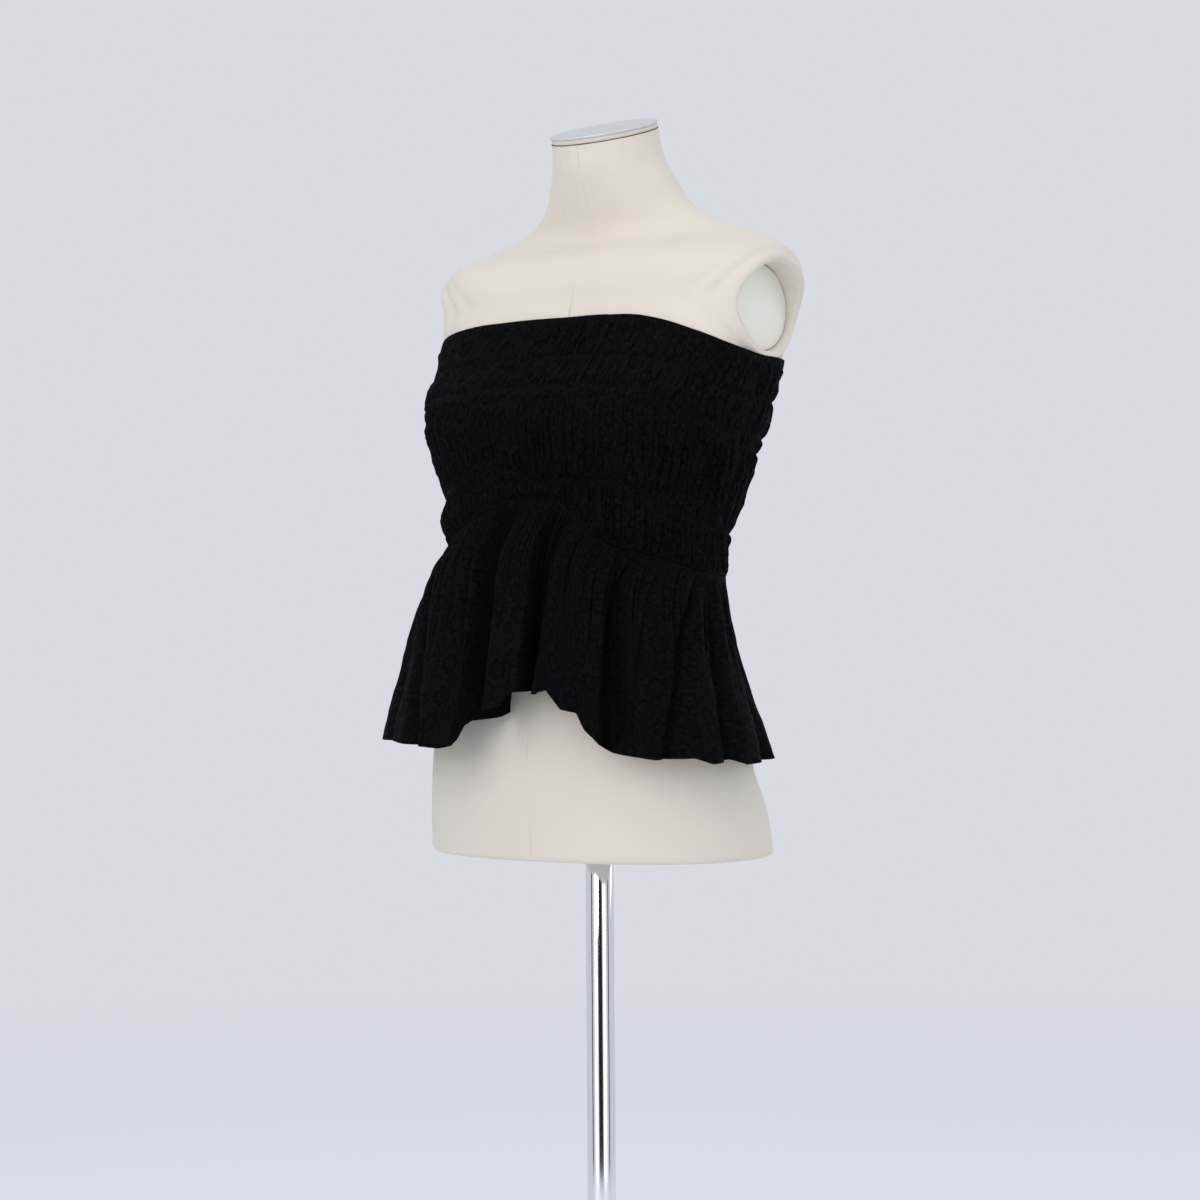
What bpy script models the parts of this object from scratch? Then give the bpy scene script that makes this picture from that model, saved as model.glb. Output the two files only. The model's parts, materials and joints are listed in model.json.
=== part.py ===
# A strapless shirred top with a gathered peplum, on a limbless dress form with a pole and a round base.
# Sizes below are in millimetres and the meshes in metres. +Z is up, the front faces -Y, and the form's own
# left is +X. The origin is the centre of the base's underside, on the pole's axis.
# Angles round the body are in degrees from the centre front, positive towards the form's left. The side
# seams' inset is an angle, and their margin a length; both leave about the seam gap between two panels.
from collections import namedtuple

import bmesh
import bpy
import numpy as np

MM = 0.001
SEAM_GAP = 0.3
SIDE_SEAM_INSET = 0.065
SIDE_SEAM_MARGIN = 0.18

# The form's horizontal sections. The centre is how far a section's middle lies behind the pole's axis, a
# squareness of 2 is an ellipse, and the neck's sections tilt forward by the tilt, in degrees.
Section = namedtuple("Section", "height half_width half_depth centre squareness tilt")
FORM_SECTIONS = [
    Section(820, 182, 124, 3, 2.2, 0),
    Section(868, 178, 121, -4, 2.2, 0),
    Section(900, 172, 115, -13, 2.2, 0),
    Section(945, 165, 109, -17, 2.2, 0),
    Section(1000, 152, 102, -16, 2.2, 0),
    Section(1050, 137, 94, -11, 2.2, 0),
    Section(1096, 126, 87, -7, 2.2, 0),
    Section(1147, 135, 92, -7, 2.3, 0),
    Section(1176, 146, 101, -3, 2.4, 0),
    Section(1207, 158, 112, -2, 2.5, 0),
    Section(1247, 170, 121, -2, 2.6, 0),
    Section(1270, 174, 118, 4, 2.7, 0),
    Section(1306, 177, 103, 23, 3.0, 0),
    Section(1337, 181, 92, 37, 3.4, 0),
    Section(1362, 186, 88, 43, 3.6, 0),
    Section(1388, 191, 86, 46, 3.7, 0),
    Section(1405, 190, 81, 47, 3.4, 0),
    Section(1417, 185, 72, 49, 2.8, 0),
    Section(1426, 172, 61, 53, 2.2, 0),
    Section(1433, 156, 57, 55, 1.8, 0),
    Section(1440, 136, 57, 55, 1.65, 0),
    Section(1448, 114, 58, 54, 1.65, 0),
    Section(1458, 95, 59, 50, 1.75, 1),
    Section(1472, 78, 58, 43, 1.9, 4),
    Section(1490, 67, 57, 35, 2.0, 8),
    Section(1509, 58, 56, 27, 2.0, 12),
    Section(1533, 54, 54, 21, 2.0, 17),
]
FORM_COLUMNS = 40
FORM_ROUNDING = 7
LOOP_SPACING = 29

# The neck cap and the arm plates, which are let into the sides of the shoulders.
CAP_THICKNESS = 8
CAP_BEVEL = 1.5
PLATE_HEIGHT = 84
PLATE_DEPTH = 98
PLATE_CENTRE_HEIGHT = 1357
PLATE_CENTRE_BACK = 36
PLATE_THICKNESS = 4
PLATE_BEVEL = 1.2
RECESS_FLOOR = 166
RECESS_MARGIN = 1.0
OVAL_CORNERS = 28

# The stand.
POLE_DIAMETER = 28.5
POLE_SOCKET_DEPTH = 60
POLE_CORNERS = 24
BASE_RADIUS = 170
BASE_CORNERS = 36
BASE_SOCKET_RADIUS = 14.7
BASE_SOCKET_FLOOR = 8
Turn = namedtuple("Turn", "radius height")
BASE_PROFILE = [
    Turn(BASE_SOCKET_RADIUS, BASE_SOCKET_FLOOR),
    Turn(BASE_SOCKET_RADIUS, 44),
    Turn(20, 44),
    Turn(22, 42),
    Turn(22, 24),
    Turn(28, 17),
    Turn(BASE_RADIUS * 0.6, 13),
    Turn(BASE_RADIUS - 5, 9),
    Turn(BASE_RADIUS - 1, 7),
    Turn(BASE_RADIUS, 4),
    Turn(BASE_RADIUS - 2, 0),
]

# The cloth. Its wall stands off the form by the clearance, and bridges the hollow under the bust by the
# front ease, which is fullest at the centre front.
WALL = 1.4
CLEARANCE = 1.8
Ease = namedtuple("Ease", "height front_ease")
FRONT_EASE = [
    Ease(1070, 26),
    Ease(1110, 25),
    Ease(1147, 21),
    Ease(1176, 9),
    Ease(1207, 2),
    Ease(1247, 0),
    Ease(1350, 0),
]

# The cloth's edges, as heights by the angle from the centre front. The top edge is level over the front and
# falls to the sides and back, the waist seam arches high at the front, and so does the hem.
Edge = namedtuple("Edge", "angle height")
TOP_EDGE = [
    Edge(-180, 1309),
    Edge(-100, 1310),
    Edge(-86, 1316),
    Edge(-75, 1329),
    Edge(-66, 1340),
    Edge(-54, 1347),
    Edge(-40, 1349),
    Edge(0, 1350),
    Edge(28, 1350),
    Edge(44, 1347),
    Edge(52, 1341),
    Edge(61, 1330),
    Edge(70, 1319),
    Edge(84, 1310),
    Edge(100, 1308),
    Edge(180, 1309),
]
WAIST_SEAM = [
    Edge(-180, 1095),
    Edge(-110, 1095),
    Edge(-85, 1104),
    Edge(-57, 1131),
    Edge(-40, 1148),
    Edge(-27, 1159),
    Edge(-10, 1168),
    Edge(6, 1170),
    Edge(17, 1166),
    Edge(26, 1155),
    Edge(33, 1139),
    Edge(40, 1125),
    Edge(50, 1119),
    Edge(62, 1112),
    Edge(76, 1101),
    Edge(92, 1096),
    Edge(120, 1095),
    Edge(180, 1095),
]
HEM = [
    Edge(-180, 919),
    Edge(-150, 922),
    Edge(-120, 918),
    Edge(-95, 926),
    Edge(-57, 937),
    Edge(-41, 934),
    Edge(-25, 930),
    Edge(-16, 938),
    Edge(-12, 963),
    Edge(6, 975),
    Edge(12, 986),
    Edge(24, 986),
    Edge(30, 970),
    Edge(36, 961),
    Edge(42, 937),
    Edge(48, 929),
    Edge(58, 923),
    Edge(84, 918),
    Edge(120, 918),
    Edge(150, 920),
    Edge(180, 919),
]

# The rows of elastic below the top edge, and how far the cloth puffs out under each one.
ElasticRow = namedtuple("ElasticRow", "name below_front below_back puff_under")
ELASTIC_ROWS = [
    ElasticRow("edge", 0, 0, 1.5),
    ElasticRow("first", 41, 43, 5.0),
    ElasticRow("second", 77, 88, 4.0),
    ElasticRow("third", 162, 177, 8.0),
]
BAND_ROWS = {
    "edge": [0.22, 0.6],
    "first": [0.2, 0.55],
    "second": [0.1, 0.35, 0.7, 0.92],
    "third": [0.25, 0.65],
}

# The band above the waist seam puffs out less on the form's left side, between these angles.
LEFT_PUFF_LOSS = 0.7
LEFT_PUFF_ANGLES = (20, 70, 130, 175)

# The shirring's puckers run up and down. Each is one ridge and one hollow of the outer wall.
PUCKERS = 100
PUCKER_HEIGHT = 2.2
PUCKER_AT_ELASTIC = 0.9
PUCKER_EVEN_SHARE = 0.78
PUCKER_TURN = 2.399
INNER_RATIO = 5

# The peplum: level sections through its crests, and its folds.
Flare = namedtuple("Flare", "height half_width half_depth centre")
PEPLUM_FLARE = [
    Flare(905, 212, 160, -44),
    Flare(946, 203, 150, -45),
    Flare(1006, 184, 136, -44),
    Flare(1066, 172, 125, -44),
    Flare(1126, 163, 118, -38),
    Flare(1170, 156, 110, -24),
]
Fold = namedtuple("Fold", "valley lean depth")
PEPLUM_FOLDS = [
    Fold(-169, -3, 12),
    Fold(-151, -4, 16),
    Fold(-133, -6, 12),
    Fold(-114, -8, 17),
    Fold(-95, -9, 13),
    Fold(-76, -9, 17),
    Fold(-56, -12, 10),
    Fold(-36.5, -18, 13),
    Fold(-14, 0.5, 26),
    Fold(13.6, 8, 20),
    Fold(47.8, 3.5, 16),
    Fold(62.5, 17, 13),
    Fold(81, 8, 14),
    Fold(100, 8, 16),
    Fold(118, 7, 12),
    Fold(136, 6, 16),
    Fold(154, 4, 12),
    Fold(173, 2, 15),
]
PEPLUM_COLUMNS = 120
PEPLUM_ROWS = [0, 0.03, 0.08, 0.17, 0.29, 0.43, 0.57, 0.72, 0.86, 1]
VALLEY_SHARPNESS = 1.5
VALLEY_AT_SEAM = 0.1
PEPLUM_OPENING = 9
GATHER_HEIGHT = 1.1
GATHERS_END = 0.3
SEAM_BEND_ROOM = 0.18


def clear_scene():
    for thing in list(bpy.data.objects):
        bpy.data.objects.remove(thing, do_unlink=True)


def make_material(name, colour, roughness, metallic=0.0):
    material = bpy.data.materials.new(name)
    material.use_nodes = True
    shader = material.node_tree.nodes["Principled BSDF"]
    shader.inputs["Base Color"].default_value = (*colour, 1.0)
    shader.inputs["Roughness"].default_value = roughness
    shader.inputs["Metallic"].default_value = metallic
    return material


def along(table, column, height, by="height"):
    """A column of a table at any height or angle, on a smooth curve through its rows."""
    rows = sorted(table)
    heights = np.array([getattr(row, by) for row in rows], float)
    values = np.array([getattr(row, column) for row in rows], float)
    slopes = np.gradient(values, heights)
    level = np.clip(height, heights[0], heights[-1])
    row = np.clip(np.searchsorted(heights, level) - 1, 0, len(heights) - 2)
    span = heights[row + 1] - heights[row]
    part = (level - heights[row]) / span
    rise = part * part * (3 - 2 * part)
    start = slopes[row] * span * part * (1 - part) ** 2
    finish = slopes[row + 1] * span * part * part * (part - 1)
    return values[row] + (values[row + 1] - values[row]) * rise + start + finish


def oval_radius(angle, half_width, half_depth, squareness):
    """The distance from an oval's middle to its edge in one direction."""
    across = np.abs(np.sin(np.radians(angle))) / half_width
    fore = np.abs(np.cos(np.radians(angle))) / half_depth
    return (across ** squareness + fore ** squareness) ** (-1 / squareness)


def form_radius(angle, height):
    width = along(FORM_SECTIONS, "half_width", height)
    depth = along(FORM_SECTIONS, "half_depth", height)
    return oval_radius(angle, width, depth, along(FORM_SECTIONS, "squareness", height))


def place(angle, radius, centre, height):
    """Points at an angle and radius about a section's middle."""
    turn = np.radians(angle)
    x = radius * np.sin(turn)
    y = centre - radius * np.cos(turn)
    return np.stack(np.broadcast_arrays(x, y, height), axis=-1)


def form_ring(height, shrink=0.0):
    angles = np.arange(FORM_COLUMNS) * 360 / FORM_COLUMNS
    centre = along(FORM_SECTIONS, "centre", height)
    ring = place(angles, form_radius(angles, height) - shrink, centre, height)
    tilt = np.radians(along(FORM_SECTIONS, "tilt", height))
    back = ring[:, 1] - centre
    ring[:, 1] = centre + back * np.cos(tilt)
    ring[:, 2] = height + back * np.sin(tilt)
    return ring


def finish_mesh(name, verts, faces, material, sharp_angle=40):
    """One closed body of the given points and faces, smooth but at its edges."""
    mesh = bpy.data.meshes.new(name)
    mesh.from_pydata([tuple(point) for point in np.asarray(verts) * MM], [], faces)
    shape = bmesh.new()
    shape.from_mesh(mesh)
    bmesh.ops.recalc_face_normals(shape, faces=shape.faces)
    shape.to_mesh(mesh)
    shape.free()
    mesh.shade_smooth()
    mesh.set_sharp_from_angle(angle=np.radians(sharp_angle))
    mesh.materials.append(material)
    thing = bpy.data.objects.new(name, mesh)
    bpy.context.scene.collection.objects.link(thing)
    return thing


def loft(name, rings, material, sharp_angle=40):
    """A solid through closed rings of equal count, with a flat face at each end."""
    count = len(rings[0])
    faces = [tuple(range(count))]
    for row in range(len(rings) - 1):
        for column in range(count):
            beside = (column + 1) % count
            low = row * count
            high = low + count
            faces.append((low + column, low + beside, high + beside, high + column))
    last = (len(rings) - 1) * count
    faces.append(tuple(range(last, last + count)))
    return finish_mesh(name, np.concatenate(rings), faces, material, sharp_angle)


def grid_faces(ids):
    return [
        (ids[r, c], ids[r, c + 1], ids[r + 1, c + 1], ids[r + 1, c])
        for r in range(ids.shape[0] - 1)
        for c in range(ids.shape[1] - 1)
    ]


def stitch(outer, inner):
    """Triangles that close the rim between a fine edge and a coarse one."""
    ratio = (len(outer) - 1) // (len(inner) - 1)
    faces = []
    for piece in range(len(inner) - 1):
        first, second = inner[piece], inner[piece + 1]
        turn = (ratio + 1) // 2
        for step in range(ratio):
            corner = first if step < turn else second
            faces.append((outer[piece * ratio + step], outer[piece * ratio + step + 1], corner))
        faces.append((outer[piece * ratio + turn], second, first))
    return faces


def cloth_wall(name, outer, inner, material):
    """A closed wall between two grids of points with equal rows."""
    rows, fine = outer.shape[:2]
    coarse = inner.shape[1]
    outer_ids = np.arange(rows * fine).reshape(rows, fine)
    inner_ids = rows * fine + np.arange(rows * coarse).reshape(rows, coarse)
    faces = grid_faces(outer_ids) + grid_faces(inner_ids)
    faces += stitch(outer_ids[0], inner_ids[0])
    faces += stitch(outer_ids[-1], inner_ids[-1])
    for edge in (0, -1):
        both = np.stack([outer_ids[:, edge], inner_ids[:, edge]])
        faces += grid_faces(both)
    faces = [tuple(int(corner) for corner in face) for face in faces]
    verts = np.concatenate([outer.reshape(-1, 3), inner.reshape(-1, 3)])
    return finish_mesh(name, verts, faces, material)


def smooth_step(value, start, end):
    part = np.clip((value - start) / (end - start), 0, 1)
    return part * part * (3 - 2 * part)


def signed(angle):
    """An angle from the centre front, from -180 to 180 degrees."""
    return (angle + 180) % 360 - 180


def top_edge(angle):
    return along(TOP_EDGE, "height", signed(angle), by="angle")


def waist_seam(angle):
    return along(WAIST_SEAM, "height", signed(angle), by="angle")


def hem_height(angle):
    return np.interp(signed(angle), [edge.angle for edge in HEM], [edge.height for edge in HEM])


def elastic_height(row, angle):
    toward_back = (1 - np.cos(np.radians(angle))) / 2
    return top_edge(angle) - row.below_front - (row.below_back - row.below_front) * toward_back


def lowest_puff_share(angle):
    """How much of its puff the band above the waist seam keeps at an angle."""
    fades, faded, grows, grown = LEFT_PUFF_ANGLES
    turned = signed(angle)
    return 1 - LEFT_PUFF_LOSS * smooth_step(turned, fades, faded) * (1 - smooth_step(turned, grows, grown))


def bodice_levels(angle):
    """Each level of the bodice at an angle: its height, its puff and how far it is from an elastic."""
    levels = []
    for number, row in enumerate(ELASTIC_ROWS):
        high = elastic_height(row, angle)
        if number + 1 < len(ELASTIC_ROWS):
            low = elastic_height(ELASTIC_ROWS[number + 1], angle)
        else:
            low = waist_seam(angle)
        share = lowest_puff_share(angle) if number + 1 == len(ELASTIC_ROWS) else 1
        levels.append((high, 0 * high, 0 * high, number))
        for part in BAND_ROWS[row.name]:
            arch = np.sin(np.pi * part) ** 0.7
            puff = row.puff_under * arch * share
            levels.append((high + (low - high) * part, puff + 0 * high, arch + 0 * high, number))
    low = waist_seam(angle)
    levels.append((low, 0 * low, 0 * low, len(ELASTIC_ROWS)))
    return levels


def cloth_radius(angle, height):
    """The inside of the bodice before it puffs."""
    ease = along(FRONT_EASE, "front_ease", height)
    toward_front = (1 + np.cos(np.radians(angle))) / 2
    return form_radius(angle, height) + CLEARANCE + ease * toward_front


def pucker_sizes(columns, band):
    """Uneven heights for the ridges of one band, and none for the hollows between them."""
    number = np.arange(columns)
    swing = np.sin(number * PUCKER_TURN + band) * np.cos(number * PUCKER_TURN / 3 + band)
    uneven = PUCKER_EVEN_SHARE + (1 - PUCKER_EVEN_SHARE) * swing
    return np.where(number % 2 == 1, uneven, 0.0)


def bodice_panel(name, start, finish, material):
    """One shirred panel, from one side seam to the other."""
    columns = PUCKERS + 1
    angles = np.linspace(start, finish, columns)
    coarse = angles[::INNER_RATIO]
    outer, inner = [], []
    for height, puff, arch, band in bodice_levels(angles):
        height = height + SEAM_GAP * (band == len(ELASTIC_ROWS))
        ridge = PUCKER_AT_ELASTIC + (PUCKER_HEIGHT - PUCKER_AT_ELASTIC) * arch
        radius = cloth_radius(angles, height) + puff
        centre = along(FORM_SECTIONS, "centre", height)
        proud = ridge * pucker_sizes(columns, band)
        outer.append(place(angles, radius + WALL + proud, centre, height))
        inner.append(place(coarse, radius[::INNER_RATIO], centre[::INNER_RATIO], height[::INNER_RATIO]))
    return cloth_wall(name, np.array(outer), np.array(inner), material)


def fold_depth(angle, down):
    """How far the peplum falls in from its crests, at an angle and a share of the way to the hem."""
    folds = [Fold(f.valley - 360, f.lean, f.depth) for f in PEPLUM_FOLDS[-2:]]
    folds += PEPLUM_FOLDS
    folds += [Fold(f.valley + 360, f.lean, f.depth) for f in PEPLUM_FOLDS[:2]]
    valleys = np.array([fold.valley + fold.lean * (1 - down) for fold in folds])
    depths = np.array([fold.depth for fold in folds], float)
    place_in = np.searchsorted(valleys, angle) - 1
    part = (angle - valleys[place_in]) / (valleys[place_in + 1] - valleys[place_in])
    depth = depths[place_in] + (depths[place_in + 1] - depths[place_in]) * smooth_step(part, 0, 1)
    return depth * (0.5 + 0.5 * np.cos(2 * np.pi * part)) ** VALLEY_SHARPNESS


def peplum_middle(angles):
    """The peplum's middle surface, a row of points for each level from the seam to the hem."""
    rows = []
    gather = GATHER_HEIGHT * np.where(np.arange(len(angles)) % 2 == 1, 1, -1)
    seam = waist_seam(angles)
    bend = np.abs(np.roll(seam, 1) - 2 * seam + np.roll(seam, -1))
    bend = np.maximum(bend, np.maximum(np.roll(bend, 1), np.roll(bend, -1)))
    seam = seam - SEAM_GAP - SEAM_BEND_ROOM * bend
    seam_radius = cloth_radius(angles, seam) + WALL
    seam_centre = along(FORM_SECTIONS, "centre", seam)
    for down in PEPLUM_ROWS:
        height = seam + (hem_height(angles) - seam) * down
        width = along(PEPLUM_FLARE, "half_width", height)
        depth = along(PEPLUM_FLARE, "half_depth", height)
        centre = along(PEPLUM_FLARE, "centre", height)
        opened = 1 - (1 - down) ** PEPLUM_OPENING
        folded = fold_depth(angles, down) * (VALLEY_AT_SEAM + (1 - VALLEY_AT_SEAM) * down ** 0.7)
        radius = oval_radius(angles, width, depth, 2.0) - folded
        radius += gather * max(0, 1 - down / GATHERS_END)
        flared = place(angles, radius, centre, height)
        gathered = place(angles, seam_radius + gather / 2, seam_centre, height)
        points = gathered + (flared - gathered) * opened
        rows.append(clear_of_form(points, angles, height))
    return np.array(rows)


def clear_of_form(points, angles, height):
    """Moves points out, along their section's radius, to just clear of the form."""
    centre = along(FORM_SECTIONS, "centre", height)
    across = points[:, 0]
    back = points[:, 1] - centre
    reach = np.hypot(across, back)
    turn = np.degrees(np.arctan2(across, -back))
    least = form_radius(turn, height) + CLEARANCE + WALL + GATHER_HEIGHT
    scale = np.maximum(1, least / reach)
    moved = points.copy()
    moved[:, 0] = across * scale
    moved[:, 1] = centre + back * scale
    return moved


def surface_normals(points):
    """Unit normals of a closed tube of points, facing out."""
    around = np.roll(points, -1, axis=1) - np.roll(points, 1, axis=1)
    down = np.gradient(points, axis=0)
    normals = np.cross(around, down)
    normals /= np.linalg.norm(normals, axis=-1, keepdims=True)
    outward = points - points.mean(axis=1, keepdims=True)
    facing = np.sign((normals * outward)[..., :2].sum(axis=-1).mean())
    return normals * facing


def make_peplum(material):
    """The peplum's two panels, cut from one tube at the side seams."""
    step = 360 / PEPLUM_COLUMNS
    angles = -180 + step * np.arange(PEPLUM_COLUMNS)
    middle = peplum_middle(angles)
    normals = surface_normals(middle)
    normals[0, :, 2] = 0
    normals[0] /= np.linalg.norm(normals[0], axis=-1, keepdims=True)
    outer = middle + normals * WALL / 2
    inner = middle - normals * WALL / 2
    quarter = PEPLUM_COLUMNS // 4
    panels = {
        "peplum_front": np.arange(quarter, 3 * quarter + 1),
        "peplum_back": np.arange(3 * quarter, 5 * quarter + 1) % PEPLUM_COLUMNS,
    }
    for name, columns in panels.items():
        skins = []
        for skin in (outer, inner):
            panel = skin[:, columns].copy()
            for edge, beside in ((0, 1), (-1, -2)):
                toward = panel[:, beside] - panel[:, edge]
                toward /= np.linalg.norm(toward, axis=-1, keepdims=True)
                panel[:, edge] += toward * SIDE_SEAM_MARGIN
            skins.append(panel)
        cloth_wall(name, skins[0], skins[1], material)


def make_form(material):
    """The form's body, with its socket for the pole and a recess in each shoulder."""
    angles = np.arange(FORM_COLUMNS) * 360 / FORM_COLUMNS
    foot = FORM_SECTIONS[0].height
    socket = POLE_DIAMETER / 2 + SEAM_GAP
    rings = [place(angles, socket, 0, foot + POLE_SOCKET_DEPTH), place(angles, socket, 0, foot)]
    for turn in np.radians([0, 30, 60, 90]):
        height = foot + FORM_ROUNDING * (1 - np.cos(turn))
        rings.append(form_ring(height, FORM_ROUNDING * (1 - np.sin(turn))))
    heights = [foot + FORM_ROUNDING]
    for low, high in zip(FORM_SECTIONS, FORM_SECTIONS[1:]):
        start = max(low.height, heights[-1])
        loops = int(np.ceil((high.height - start) / LOOP_SPACING))
        heights += list(np.linspace(start, high.height, loops + 1)[1:])
    rings += [form_ring(height) for height in heights[1:]]
    body = loft("form_body", rings, material)
    for side in (1, -1):
        add_recess(body, side)
    return body


def oval_ring(side, x, margin):
    """An upright oval that faces the side, about an arm plate's centre."""
    turn = np.linspace(0, 2 * np.pi, OVAL_CORNERS, endpoint=False)
    back = PLATE_CENTRE_BACK + (PLATE_DEPTH / 2 + margin) * np.cos(turn)
    height = PLATE_CENTRE_HEIGHT + (PLATE_HEIGHT / 2 + margin) * np.sin(turn)
    return np.stack([np.full(OVAL_CORNERS, side * x), back, height], axis=-1)


def add_recess(body, side):
    rings = [oval_ring(side, x, RECESS_MARGIN) for x in (RECESS_FLOOR, RECESS_FLOOR + 60)]
    label = "left" if side > 0 else "right"
    cutter = loft("recess_cutter_" + label, rings, body.data.materials[0])
    cutter.hide_render = True
    cutter.display_type = "WIRE"
    cut = body.modifiers.new("arm_recess_" + label, "BOOLEAN")
    cut.operation = "DIFFERENCE"
    cut.solver = "EXACT"
    cut.object = cutter


def make_arm_plates(material):
    back = RECESS_FLOOR + SEAM_GAP
    front = back + PLATE_THICKNESS
    for side, label in ((1, "left"), (-1, "right")):
        rings = [
            oval_ring(side, back, 0),
            oval_ring(side, front - PLATE_BEVEL, 0),
            oval_ring(side, front, -PLATE_BEVEL),
        ]
        loft("arm_plate_" + label, rings, material)


def make_neck_cap(material):
    """A round plate on the neck, square to the neck's tilted axis."""
    top = FORM_SECTIONS[-1]
    tilt = np.radians(top.tilt)
    up = np.array([0, -np.sin(tilt), np.cos(tilt)])
    rim = form_ring(top.height)
    middle = rim.mean(axis=0)

    def ring(rise, shrink):
        spokes = rim - middle
        spokes *= 1 - shrink / np.linalg.norm(spokes, axis=-1, keepdims=True)
        return middle + spokes + up * rise

    rings = [
        ring(SEAM_GAP, CAP_BEVEL),
        ring(SEAM_GAP + CAP_BEVEL, 0),
        ring(CAP_THICKNESS - CAP_BEVEL, 0),
        ring(CAP_THICKNESS, CAP_BEVEL),
    ]
    return loft("neck_cap", rings, material)


def turned(name, profile, corners, material):
    """A solid of revolution about the pole's axis, through a profile of turns."""
    angles = np.arange(corners) * 360 / corners
    return loft(name, [place(angles, turn.radius, 0, turn.height) for turn in profile], material)


def make_stand(chrome):
    radius = POLE_DIAMETER / 2
    foot = BASE_SOCKET_FLOOR + SEAM_GAP
    top = FORM_SECTIONS[0].height + POLE_SOCKET_DEPTH - SEAM_GAP
    turned("pole", [Turn(radius, foot), Turn(radius, top)], POLE_CORNERS, chrome)
    turned("base", BASE_PROFILE, BASE_CORNERS, chrome)


def main():
    clear_scene()
    black_knit = make_material("black_textured_knit", (0.005, 0.005, 0.006), 0.8)
    form_cover = make_material("off_white_form_cover", (0.72, 0.67, 0.59), 0.85)
    cap_plastic = make_material("pale_grey_cap", (0.6, 0.6, 0.6), 0.5)
    plate_cloth = make_material("pale_arm_plate", (0.7, 0.7, 0.62), 0.8)
    chrome = make_material("polished_chrome", (0.75, 0.76, 0.78), 0.12, 1.0)
    bodice_panel("bodice_front", -90 + SIDE_SEAM_INSET, 90 - SIDE_SEAM_INSET, black_knit)
    bodice_panel("bodice_back", 90 + SIDE_SEAM_INSET, 270 - SIDE_SEAM_INSET, black_knit)
    make_peplum(black_knit)
    make_form(form_cover)
    make_neck_cap(cap_plastic)
    make_arm_plates(plate_cloth)
    make_stand(chrome)


main()
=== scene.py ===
import json

import bpy
import numpy as np
from mathutils import Matrix, Vector

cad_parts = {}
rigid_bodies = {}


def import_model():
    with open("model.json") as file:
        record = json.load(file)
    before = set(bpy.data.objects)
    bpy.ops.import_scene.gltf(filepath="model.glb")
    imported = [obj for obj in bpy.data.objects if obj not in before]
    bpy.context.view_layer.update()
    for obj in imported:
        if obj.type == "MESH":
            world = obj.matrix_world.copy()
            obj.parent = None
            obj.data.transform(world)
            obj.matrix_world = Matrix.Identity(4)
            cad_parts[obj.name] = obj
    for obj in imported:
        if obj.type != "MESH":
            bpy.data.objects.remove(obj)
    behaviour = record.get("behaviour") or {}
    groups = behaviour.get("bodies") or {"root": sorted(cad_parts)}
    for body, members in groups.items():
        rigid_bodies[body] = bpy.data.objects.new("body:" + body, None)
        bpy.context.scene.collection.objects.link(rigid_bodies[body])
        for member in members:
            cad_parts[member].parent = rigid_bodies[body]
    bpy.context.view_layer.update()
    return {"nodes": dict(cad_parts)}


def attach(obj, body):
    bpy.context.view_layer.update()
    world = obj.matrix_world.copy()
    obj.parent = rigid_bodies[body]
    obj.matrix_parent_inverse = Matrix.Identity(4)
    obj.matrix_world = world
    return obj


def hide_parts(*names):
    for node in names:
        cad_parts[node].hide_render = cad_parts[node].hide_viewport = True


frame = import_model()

mm = 0.001
print("frame loaded:", len(frame["nodes"]), "nodes")

# Colours are sRGB hex and sizes in the tables are millimetres. Angles go round the body, in degrees from
# the centre front, positive towards the form's own left (+X). The front faces -Y.


def toLinear(hexColour):
    parts = [int(hexColour[i:i + 2], 16) / 255 for i in (1, 3, 5)]
    return tuple(p / 12.92 if p <= 0.04045 else ((p + 0.055) / 1.055) ** 2.4 for p in parts) + (1.0,)


def addNode(tree, kind, settings=None, values=None, links=None):
    node = tree.nodes.new(kind)
    for name, value in (settings or {}).items():
        setattr(node, name, value)
    for name, value in (values or {}).items():
        node.inputs[name].default_value = value
    for name, socket in (links or {}).items():
        tree.links.new(socket, node.inputs[name])
    return node


# a Mix node's sockets for its two colours and for the colour that comes out, by their number
colourA = 6
colourB = 7
colourOut = 2


def newMaterial(name, values):
    material = bpy.data.materials.new(name)
    material.use_nodes = True
    shader = material.node_tree.nodes["Principled BSDF"]
    for socket, value in values.items():
        shader.inputs[socket].default_value = value
    return material, material.node_tree, shader


def deselectAll():
    for thing in bpy.context.view_layer.objects:
        thing.select_set(False)


def makeActive(piece):
    deselectAll()
    piece.select_set(True)
    bpy.context.view_layer.objects.active = piece


def finishPiece(piece, name, material, nodes=(), smoothAngle=None):
    piece.name = name
    piece.data.name = name
    piece.data.materials.clear()
    piece.data.materials.append(material)
    makeActive(piece)
    bpy.ops.object.transform_apply(location=True, rotation=True, scale=True)
    if smoothAngle is None:
        bpy.ops.object.shade_smooth()
    else:
        bpy.ops.object.shade_smooth_by_angle(angle=np.radians(smoothAngle))
    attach(piece, "root")
    if nodes:
        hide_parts(*nodes)
    print("made", name, len(piece.data.polygons))
    return piece


def addGrid(columns, rows):
    deselectAll()
    bpy.ops.mesh.primitive_grid_add(x_subdivisions=columns - 1, y_subdivisions=rows - 1, size=1)
    return bpy.context.object


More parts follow.
